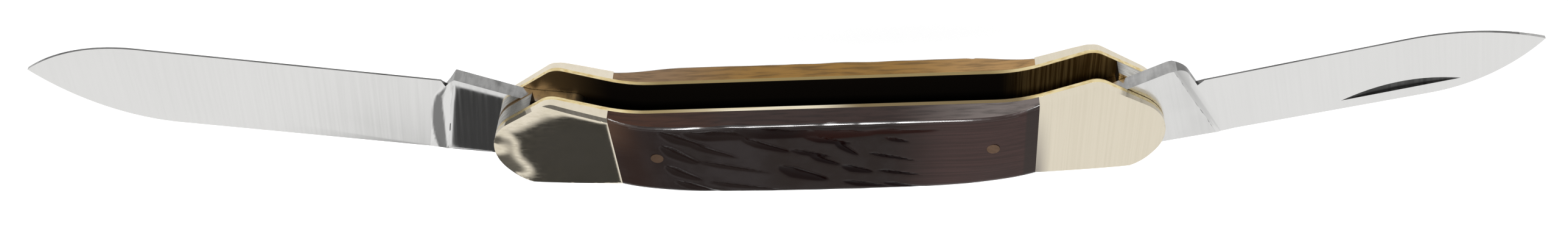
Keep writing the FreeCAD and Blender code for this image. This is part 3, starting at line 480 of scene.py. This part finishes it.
def blade_finishes(kind):
    """Tang, ground face, rim, cutting edge, nail nick and tang's bevel, with lines square to the blade. The
    rim and cutting edge are darker steel as painted shade, the nick near black as painted shadow, and the
    ground face takes painted shade where the darkening attribute is set.
    """
    blade = BLADES[kind]
    turn = blade["rise"] * blade["end"]
    polished = kind == "main"
    tang_rough = (0.05, 0.10) if polished else (0.16, 0.22)
    # The rims are darker steel than the sides, and the cutting edge darker still: painted shade of the spine,
    # tang tops and edge.
    rim_light, rim_dark = (grey(0.34), grey(0.13)) if polished else (grey(0.46), grey(0.26))
    across = (2200.0, 200.0, 40.0)
    even = (900.0, 900.0, 900.0)
    rim_lines = (1500.0, 250.0, 250.0)
    bevel_lines = (4200.0, 400.0, 400.0)
    return [
        brushed_metal(f"{kind}_tang_steel", grey(0.72), grey(0.66), tang_rough, across, turn, bump=0.03),
        # The ground face's dark grey is painted shade, in the main blade's crescent and beside the pen
        # blade's plunge line.
        brushed_metal(
            f"{kind}_ground_steel", grey(0.755), grey(0.735), (0.11, 0.14), across, turn,
            cloud_scale=60.0, line_share=0.5, bump=0.015, dull=grey(0.2)),
        brushed_metal(
            f"{kind}_rim_shade_steel", rim_light, rim_dark, (0.2, 0.3), rim_lines, turn,
            cloud_scale=420.0, line_share=0.35),
        brushed_metal(f"{kind}_edge_shade_steel", grey(0.22), grey(0.10), (0.25, 0.35), even, turn),
        # The nail nick is near black steel: painted shadow in the nick.
        brushed_metal(f"{kind}_nick_shadow_steel", grey(0.12), grey(0.04), (0.35, 0.5), across, turn, bump=0.4),
        brushed_metal(
            f"{kind}_bevel_steel", grey(0.72), grey(0.07), (0.2, 0.3), bevel_lines, turn,
            cloud_scale=900.0, line_share=0.85),
    ]


def crescent(past, height):
    """How far a place past the plunge line, at a height across the blade, lies inside the crescent of painted
    shade beside it.
    """
    inner = (0.1 + 1.5 * height) * MM
    outer = (2.7 - 4.4 * (height - 0.5) ** 2) * MM
    return limit(min(past - inner, outer - past) / CRESCENT_BLUR)


def plunge_shade(past, height):
    """The faint shade beside the pen blade's plunge line, stronger towards the edge."""
    return PEN_SHADE * height * limit(1 - abs(past - PEN_SHADE_MIDDLE) / PEN_SHADE_REACH)


def heel_draw(along, up, blade):
    """How far a place near a blade's heel is drawn towards its kick."""
    before = (along - blade["kick"]) / (blade["heel"] - blade["kick"])
    after = (blade["heel"] + HEEL_FADE - along) / HEEL_FADE
    near_edge = limit((up - HEEL_LOW) / HEEL_RISE)
    return blade["heel_pull"] * limit(min(before, after)) * near_edge


def roll_tang(mesh, tang, facing):
    """Let a tang's side fall away a little towards its rim."""
    from_rim = rim_distance(rim_edges(mesh, tang))
    for vert in {vert for face in tang for vert in face.verts}:
        vert.co.y -= TANG_ROLL_DEPTH * limit(1 - from_rim(vert.co) / TANG_ROLL) ** 2 * facing
    smooth_inside(mesh, tang, TANG_SMOOTH_TURNS)


def stretch_nick(mesh, pivot, along, up, blade):
    """Draw a nail nick out along its blade, and up from its lower rim."""
    for vert in {vert for face in mesh.faces if face.material_index == NICK for vert in face.verts}:
        away = vert.co - pivot
        vert.co += along * (away.dot(along) - blade["nick_middle"]) * NICK_STRETCH
        vert.co += up * (away.dot(up) - blade["nick_low"] - NICK_RIM) * NICK_RISE


def dress_blade(kind, side):
    """A blade with its tang's rim softened and a finish for each of its surfaces."""
    blade = BLADES[kind]
    node = f"{kind}_blade"
    lowest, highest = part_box(f"{kind}_pivot_pin")
    pivot = (lowest + highest) / 2
    along = Vector((blade["end"] * math.cos(blade["rise"]), 0, math.sin(blade["rise"])))
    up = Vector((-blade["end"] * math.sin(blade["rise"]), 0, math.cos(blade["rise"])))
    lean = math.tan(blade["lean"])

    def past_plunge(spot):
        """How far a place lies beyond the slanting plunge line."""
        away = spot - pivot
        return away.dot(along) - blade["plunge"] + lean * away.dot(up)

    def on_tang(face):
        return abs(face.normal.y) > FLAT_TANG and past_plunge(face.calc_center_median()) < TANG_END

    def by_plunge(face):
        if abs(face.normal.y) <= GROUND_TILT:
            return False
        return any(PLUNGE_NEAR < past_plunge(vert.co) < PLUNGE_FAR for vert in face.verts)

    def tang_top(edge):
        faces = edge.link_faces
        return any(map(on_tang, faces)) and any(face.normal.dot(up) > TOP_RISE for face in faces)

    def surface(face):
        """Which of the blade's surfaces a face belongs to."""
        middle = face.calc_center_median()
        away = middle - pivot
        past = past_plunge(middle)
        in_nick_length = abs(away.dot(along) - blade["nick_middle"]) < blade["nick_half"]
        in_nick_height = 0 < away.dot(up) - blade["nick_low"] < NICK_HEIGHT
        if in_nick_length and in_nick_height and NICK_STEEPEST < face.normal.y * side < NICK_FLATTEST:
            return NICK
        if abs(face.normal.y) < RIM_TURN:
            return CUTTING_EDGE if past > EDGE_START and away.dot(up) > 0 else RIM
        if past > 0 and face not in tang_faces:
            return GROUND
        on_bevel = abs(face.normal.y) < BEVEL_TURN and face.normal.dot(up) > BEVEL_RISE
        return TANG_BEVEL if on_bevel else TANG

    mesh = copy_solid(node)
    bevel_creases(mesh, TANG_BEVEL_WIDTH, 1, tang_top)
    mesh.normal_update()
    square = (along + lean * up).normalized()
    line = pivot.dot(square) + blade["plunge"] * math.cos(blade["lean"])
    low = pivot.dot(up) - HALF_HEIGHT
    high = low + 2 * HALF_HEIGHT
    cut_rows(mesh, square, line - TANG_LENGTH, line, GRID_STEP, on_tang)
    cut_rows(mesh, up, low, high, GRID_STEP, on_tang)
    cut_rows(mesh, square, line + PLUNGE_ROWS_START, line + PLUNGE_ROWS_STOP, PLUNGE_STEP_ALONG, by_plunge)
    cut_rows(mesh, up, low + PLUNGE_ACROSS_START, high, PLUNGE_STEP_ACROSS, by_plunge)
    mesh.normal_update()
    tang_faces = set(filter(on_tang, mesh.faces))
    for facing in (FRONT, REAR):
        roll_tang(mesh, {face for face in tang_faces if face.normal.y * facing > 0}, facing)
    # The darkening attribute here holds painted shade beside the plunge line.
    shade = mesh.verts.layers.float.new("darkening_share")
    for vert in mesh.verts:
        away = vert.co - pivot
        height = (away.dot(up) - blade["spine"]) / (blade["edge"] - blade["spine"])
        shading = crescent if kind == "main" else plunge_shade
        vert[shade] = shading(past_plunge(vert.co), height)
        vert.co -= along * heel_draw(away.dot(along), away.dot(up), blade)
    mesh.normal_update()
    for face in mesh.faces:
        face.material_index = surface(face)
    stretch_nick(mesh, pivot, along, up, blade)
    return make_piece(mesh, node, node, blade_finishes(kind))


dress_blade("main", REAR)
dress_blade("pen", FRONT)


# Bone covers

# The gouges as seen from the cover's own outside, in millimetres: middle along and up, half length,
# half width, then how steeply each falls to the right, in degrees, and its depth as a share of the deepest
GOUGES = [
    (-18.7, 12.1, 3.2, 0.80, 28, 0.9),
    (-19.6, 9.1, 2.7, 0.85, 38, 1.0),
    (-19.6, 5.2, 2.5, 0.75, 34, 0.9),
    (-18.0, 2.2, 2.9, 0.60, 24, 0.8),
    (-13.9, 13.0, 4.2, 0.90, 7, 1.0),
    (-15.2, 9.8, 3.3, 0.50, 26, 0.7),
    (-12.6, 6.2, 4.8, 0.45, 16, 0.5),
    (-11.7, 2.2, 4.5, 0.45, 12, 0.5),
    (-5.6, 13.1, 5.5, 0.90, 4, 1.0),
    (-7.6, 10.5, 3.2, 0.60, 24, 0.8),
    (-1.7, 8.7, 2.6, 0.45, 16, 0.6),
    (-3.0, 4.6, 3.2, 1.00, 24, 0.9),
    (2.4, 12.7, 4.5, 0.80, 2, 1.0),
    (0.7, 11.3, 2.9, 0.50, 14, 0.8),
    (0.2, 7.2, 2.2, 0.50, 28, 0.6),
    (3.2, 9.5, 1.9, 0.50, 44, 0.7),
    (4.5, 5.2, 2.0, 0.60, 18, 0.8),
    (5.4, 2.0, 2.8, 0.45, 12, 0.7),
    (10.2, 12.8, 5.0, 0.45, 1, 0.7),
    (10.1, 11.0, 1.6, 0.35, 18, 0.6),
    (9.4, 7.5, 3.2, 0.26, 16, 0.6),
    (10.2, 4.2, 2.9, 0.28, 12, 0.6),
    (10.7, 1.5, 2.6, 0.40, 14, 0.6),
]
GOUGE_LENGTHENING = 1.15
GOUGE_WIDENING = 1.35
DEEPEST_CUT = 0.3 * MM

# A gouge swells from its left tip and dies out to the right, steep above and gentle below
TIP_SHARE = 0.3
TAIL_SHARE = 0.65
NARROWEST = 0.25
REACH_ABOVE = 0.65
REACH_BELOW = 1.4
WALL_STEEPNESS = 1.4

JIG_LEFT = -20.5 * MM
JIG_RIGHT = 13.0 * MM
JIG_FADE = 4.0 * MM
RIPPLE_SCALE = 330
RIPPLE_DEPTH = 0.03 * MM
CREASE_ROUND = 0.23 * MM
CREASE_SEGMENTS = 3
CREASE_HEIGHT = 5 * MM
CREASE_OUT = 0.5 * MM
WAVE_SCALE = 210
WAVE_FOOT = 11 * MM
WAVE_RISE = 3 * MM
WAVE_SHARPNESS = 4
BULGE_TRIM = 0.32 * MM
BULGE_MIDDLE = 23 * MM
BULGE_SPREAD = 5 * MM
BULGE_HEIGHT = 5 * MM

# How far up or out a cover's face is turned on its rim, on its crease and on its carved outside
RIM_UP = 0.85
CREASE_UP = 0.35
OUTSIDE_TURN = 0.3
DYED, FLUSH_RIM, WORN_CREASE = range(3)


def draw_cuts(seed, looseness):
    """The gouges of one cover, each moved about a little by chance."""
    dice = random.Random(seed)
    cuts = []
    for x, z, long, wide, fall, deep in GOUGES:
        x += dice.uniform(-looseness, looseness)
        z += dice.uniform(-looseness, looseness) / 2
        half_length = GOUGE_LENGTHENING * long * MM
        half_width = GOUGE_WIDENING * wide * MM
        cuts.append((x * MM, z * MM, half_length, half_width, math.radians(fall), deep * DEEPEST_CUT))
    return cuts


def cut_depth(x, z, cuts):
    """How deep the gouges are at a place."""
    deepest = 0.0
    for middle_x, middle_z, half_length, half_width, fall, deep in cuts:
        dx = x - middle_x
        dz = z - middle_z
        along = dx * math.cos(fall) - dz * math.sin(fall)
        across = dx * math.sin(fall) + dz * math.cos(fall)
        from_tip = (along / half_length + 1) / 2
        if not 0 < from_tip < 1:
            continue
        swell = math.sqrt(limit(from_tip / TIP_SHARE) * limit((1 - from_tip) / TAIL_SHARE))
        width = half_width * (NARROWEST + (1 - NARROWEST) * swell)
        reach = width * (REACH_ABOVE if across > 0 else REACH_BELOW)
        inside = limit(1 - abs(across) / reach)
        deepest = max(deepest, deep * swell * smooth_step(WALL_STEEPNESS * inside))
    return deepest


def dress_cover(node, side, seed, looseness, crease_wave, rim):
    """A bone cover with a rounded, wavy crease, jigging cut into its outside and both ends left smooth."""
    mesh = copy_solid(node)
    lowest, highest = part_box(node)
    inside, outside = sorted((abs(lowest.y), abs(highest.y)))
    crease_foot = highest.z - CREASE_HEIGHT

    def on_crease(edge):
        first, last = (vert.co for vert in edge.verts)
        lengthwise = abs(last.x - first.x) > abs(last.y - first.y)
        return lengthwise and min(first.z, last.z) > crease_foot and abs(first.y) - inside > CREASE_OUT

    bevel_creases(mesh, CREASE_ROUND, CREASE_SEGMENTS, on_crease)
    cut_grid(mesh, lowest, highest)
    for face in mesh.faces:
        if face.calc_center_median().z > crease_foot and face.normal.z > CREASE_UP:
            face.material_index = FLUSH_RIM if face.normal.z > RIM_UP else WORN_CREASE
    stain = mesh.verts.layers.float.new("cut_depth")
    length = mesh.verts.layers.float.new("along_cover")
    cuts = draw_cuts(seed, looseness)
    moves = []
    for vert in mesh.verts:
        x = -vert.co.x * side
        z = vert.co.z
        outward = limit((abs(vert.co.y) - inside) / (outside - inside))
        fade = limit(min(x - JIG_LEFT, JIG_RIGHT - x) / JIG_FADE)
        wave = noise.noise(Vector((x * WAVE_SCALE, seed, 0))) * crease_wave * fade
        lift = wave * smooth_step((z - WAVE_FOOT) / WAVE_RISE) * outward ** WAVE_SHARPNESS
        at_end = math.exp(-((abs(x) - BULGE_MIDDLE) / BULGE_SPREAD) ** 2)
        trim = BULGE_TRIM * at_end * limit(1 - z / BULGE_HEIGHT) * outward
        move = Vector((0, -side * trim, lift))
        if vert.normal.y * side > OUTSIDE_TURN:
            depth = cut_depth(x, z, cuts)
            ripple = (noise.noise(Vector((x, 0, z)) * RIPPLE_SCALE) + 1) * RIPPLE_DEPTH * fade
            vert[stain] = depth / DEEPEST_CUT
            move -= vert.normal * (depth + ripple)
        vert[length] = x
        moves.append(move)
    for vert, move in zip(mesh.verts, moves):
        vert.co += move
    return make_piece(mesh, node, "handle", [bone, rim, worn_bone])


dress_cover("front_cover", FRONT, seed=11, looseness=0.0, crease_wave=0.8 * MM, rim=front_rim_with_highlight)
dress_cover("rear_cover", REAR, seed=23, looseness=1.2, crease_wave=0.2 * MM, rim=rear_rim)


# Bolsters

# How each part of a bolster's outline is polished down: how far in from the rim, and how deep at it
BOLSTER_ROLL = {
    "slope": (1.7 * MM, 0.16 * MM),
    "slant": (4.2 * MM, 0.20 * MM),
    "end": (5.2 * MM, 0.24 * MM),
    "joint": (0.8 * MM, 0.055 * MM),
}
ROLL_BLEND = 1.6
ROLL_SMOOTH_TURNS = 6
SLOPE_STRIPE = 0.75 * MM
DARKENING_REACH = 1.6 * MM
DARKENING_HEIGHT = 12.0 * MM
DARKENING_START = 1.2

# How far across, up or out a bolster's face is turned on each of its sides
FLAT_FACE = 0.98
ROLLED_FACE = 0.95
OUTLINE_TURN = 0.3
BACK_DOWN = -0.6
JOINT_INWARD = -0.8
TOP_UP = 0.2
POLISHED, STRIPE = range(2)


def outline_part(face, end):
    """Which part of a bolster's outline a face belongs to, if any: the rounded back is none."""
    outward = face.normal.x * end
    if abs(face.normal.y) > OUTLINE_TURN or face.normal.z < BACK_DOWN:
        return None
    if outward < JOINT_INWARD:
        return "joint"
    if face.normal.z > TOP_UP:
        return "slope" if outward < 0 else "slant"
    return "end"


def mark_stripe(mesh, width, end, on_face):
    """Part a stripe off a bolster's face, along the top of its slope, to be painted dark as the reflection of
    a bevel.
    """
    slopes = [face for face in mesh.faces if outline_part(face, end) == "slope"]
    slope = max(slopes, key=lambda face: face.calc_area())
    upward = slope.normal.copy()
    foot = slope.calc_center_median().dot(upward) - width
    cut_rows(mesh, upward, foot, foot + width / 2, width, on_face)
    for face in filter(on_face, mesh.faces):
        face.material_index = STRIPE if face.calc_center_median().dot(upward) > foot else POLISHED


def dress_bolster(node, side, finish, stripe_width):
    """A bolster whose face is polished down towards its outline, with a dark stripe of painted reflection,
    standing for a bevel, unless its width is 0.
    """
    mesh = copy_solid(node)
    mesh.normal_update()
    lowest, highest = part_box(node)
    end = 1 if highest.x > 0 else -1
    inside = min(abs(lowest.y), abs(highest.y))

    def on_face(face):
        return face.normal.y * side > FLAT_FACE

    flat = max(filter(on_face, mesh.faces), key=lambda face: face.calc_area())
    flat_spot = flat.calc_center_median()
    flat_normal = flat.normal.copy()
    if stripe_width:
        mark_stripe(mesh, stripe_width, end, on_face)
    cut_grid(mesh, lowest, highest)
    joint_darkening = mesh.verts.layers.float.new("darkening_share")
    finders = {}
    for part in BOLSTER_ROLL:
        walls = [face for face in mesh.faces if outline_part(face, end) == part]
        finders[part] = rim_distance({edge for face in walls for edge in face.edges})
    for vert in mesh.verts:
        rolls = [
            depth * limit(1 - finders[part](vert.co) / reach) ** 2
            for part, (reach, depth) in BOLSTER_ROLL.items()
        ]
        roll = sum(share ** ROLL_BLEND for share in rolls) ** (1 / ROLL_BLEND)
        # The right bolsters are darker near their joint and low down.
        if end > 0:
            by_joint = limit(DARKENING_START - finders["joint"](vert.co) / DARKENING_REACH)
            vert[joint_darkening] = by_joint * limit(DARKENING_START - vert.co.z / DARKENING_HEIGHT)
        away = vert.co - flat_spot
        flat_y = flat_spot.y - (away.x * flat_normal.x + away.z * flat_normal.z) / flat_normal.y
        vert.co.y -= side * roll * (abs(vert.co.y) - inside) / (abs(flat_y) - inside)
    rolled = {face for face in mesh.faces if face.normal.y * side > ROLLED_FACE}
    smooth_inside(mesh, rolled, ROLL_SMOOTH_TURNS)
    return make_piece(mesh, node, "handle", [finish, painted_bevel_silver])


for side_name, facing in (("front", FRONT), ("rear", REAR)):
    dress_bolster(f"{side_name}_left_bolster", facing, polished_bolster, SLOPE_STRIPE)
    dress_bolster(f"{side_name}_right_bolster", facing, satin_bolster, 0.0)


# Finishes of the solids that show as they are

def give_finish(node, finish):
    data = nodes[node].data
    data.materials.clear()
    data.materials.append(finish)


for node in ("front_liner", "rear_liner", "center_divider"):
    give_finish(node, liner_brass)
for node in ("main_spring", "pen_spring"):
    give_finish(node, spring_steel)
for node in ("main_pivot_pin", "pen_pivot_pin"):
    give_finish(node, pin_nickel_silver)
give_finish("spring_pin", pin_brass)
for end_name in ("left", "right"):
    for side_name in ("front", "rear"):
        give_finish(f"{side_name}_{end_name}_cover_pin", pin_brass)


# Floor, light and camera

FLOOR_HALF = 3.0
FLOOR_HEIGHT = -0.09
FLOOR_GLOW = 0.2
ROOM_STRENGTH = 0.97

# Darker parts of the room, which the polished metal mirrors: from and to azimuth, counted from
# the front to the right, from and to elevation, all in degrees, and how bright each is
DARK_PARTS = [
    (-31, -13, -100, -41, 0.06),
    (-50, -34, -100, -45, 0.14),
    (38, 100, -100, 10, 0.85),
    (14, 70, 14, 62, 0.16),
    (-75, -24, 14, 62, 0.25),
    (-100, 22, -6, 14, 0.20),
]
DARK_PART_BLUR = 1.5


def lay_floor():
    """A plain pale floor well below the knife, which the metal doesn't mirror."""
    mesh = bmesh.new()
    bmesh.ops.create_grid(mesh, x_segments=1, y_segments=1, size=FLOOR_HALF)
    bmesh.ops.translate(mesh, verts=mesh.verts, vec=(0, 0, FLOOR_HEIGHT))
    data = bpy.data.meshes.new("studio_floor")
    mesh.to_mesh(data)
    mesh.free()
    finish, tree, shader = new_finish("pale_floor")
    shader.inputs["Base Color"].default_value = (0.95, 0.95, 0.95, 1)
    shader.inputs["Roughness"].default_value = 0.8
    shader.inputs["Emission Color"].default_value = (1, 1, 1, 1)
    shader.inputs["Emission Strength"].default_value = FLOOR_GLOW
    data.materials.append(finish)
    floor = bpy.data.objects.new("studio_floor", data)
    bpy.context.scene.collection.objects.link(floor)
    floor.visible_glossy = False


def light_room():
    """A white room with a few darker parts."""
    world = bpy.data.worlds.new("studio")
    world.use_nodes = True
    bpy.context.scene.world = world
    tree = world.node_tree
    background = tree.nodes["Background"]
    direction = add(tree, "ShaderNodeTexCoord").outputs["Generated"]
    parts = add(tree, "ShaderNodeSeparateXYZ", {"Vector": direction})
    ahead = reckon(tree, "MULTIPLY", parts.outputs["Y"], -1.0)
    azimuth = reckon(tree, "DEGREES", reckon(tree, "ARCTAN2", parts.outputs["X"], ahead))
    elevation = reckon(tree, "DEGREES", reckon(tree, "ARCSINE", parts.outputs["Z"]))
    color = (1, 1, 1)
    for left, right, low, high, level in DARK_PARTS:
        share = spread(tree, azimuth, left - DARK_PART_BLUR, left + DARK_PART_BLUR)
        for value, edge, way in ((azimuth, right, -1), (elevation, low, 1), (elevation, high, -1)):
            within = spread(tree, value, edge - way * DARK_PART_BLUR, edge + way * DARK_PART_BLUR)
            share = reckon(tree, "MULTIPLY", share, within)
        color = blend_colors(tree, share, color, (level, level, level))
    tree.links.new(color, background.inputs["Color"])
    background.inputs["Strength"].default_value = ROOM_STRENGTH


def hang_light(name, place, aim, size, power):
    lamp = bpy.data.lights.new(name, "AREA")
    lamp.shape = "RECTANGLE"
    lamp.size, lamp.size_y = size
    lamp.energy = power
    hung = bpy.data.objects.new(name, lamp)
    hung.location = place
    hung.rotation_euler = (Vector(aim) - Vector(place)).to_track_quat("-Z", "Y").to_euler()
    bpy.context.scene.collection.objects.link(hung)


def set_camera():
    """The camera as fitted to the photograph, with its angles, distance and aim."""
    pitch, yaw, tilt = math.radians(47.9), math.radians(-1.91), math.radians(4.70)
    distance = 208.8 * MM
    focal = 2400.0
    width, height = 2576.0, 387.0
    aim_x, aim_y = 1360.0, 265.0
    look = Matrix((
        (1, 0, 0),
        (0, math.sin(pitch), math.cos(pitch)),
        (0, -math.cos(pitch), math.sin(pitch)),
    ))
    facing = look @ Matrix.Rotation(yaw, 3, "Z") @ Matrix.Rotation(-tilt, 3, "Y")
    aside = (aim_x - width / 2) * distance / focal
    above = (height / 2 - aim_y) * distance / focal
    spot = facing.transposed() @ Vector((-aside, -above, distance))
    data = bpy.data.cameras.new("photo_camera")
    data.sensor_width = 36.0
    data.lens = focal / width * data.sensor_width
    data.clip_start = 0.01
    camera = bpy.data.objects.new("photo_camera", data)
    camera.matrix_world = Matrix.Translation(spot) @ facing.transposed().to_4x4()
    bpy.context.scene.collection.objects.link(camera)
    bpy.context.scene.camera = camera


lay_floor()
light_room()
hang_light("front_strip", place=(-0.04, -0.46, 0.39), aim=(0, 0, 0.01), size=(0.17, 0.10), power=3.6)
set_camera()
bpy.context.scene.view_settings.view_transform = "Standard"
